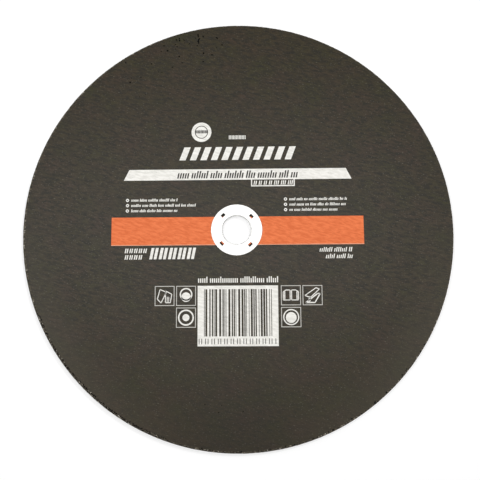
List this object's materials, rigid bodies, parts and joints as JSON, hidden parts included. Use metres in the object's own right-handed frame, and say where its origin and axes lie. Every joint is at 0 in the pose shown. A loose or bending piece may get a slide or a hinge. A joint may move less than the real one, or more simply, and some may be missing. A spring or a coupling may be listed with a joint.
{
  "type": "cut off wheel",
  "caption": "Flat abrasive cut-off wheel with a printed paper face and a stamped steel ring lining its bore, for cutting metal on a chop saw.",
  "frame": {"origin": "centre of the bore at the bare back face, which lies on the floor", "axes": "+Z along the wheel's axis, out of the printed face; +X to the right and +Y up as the print is laid out"},
  "size_m": [0.3, 0.3, 0.003],
  "materials": {
    "resin_grit": "coarse resin-bonded grit, matte",
    "dark_paper": "dark creped paper pressed into the face, matte",
    "orange_ink": "orange print on the paper, matte",
    "white_ink": "white print on the paper, matte",
    "tinplate": "bright stamped tinplate, satin"
  },
  "bodies": {
    "root": {"abrasive_disc": "resin_grit", "paper_face": "dark_paper", "orange_print": "orange_ink", "white_print": "white_ink", "bore_ring": "tinplate"}
  },
  "joints": []
}
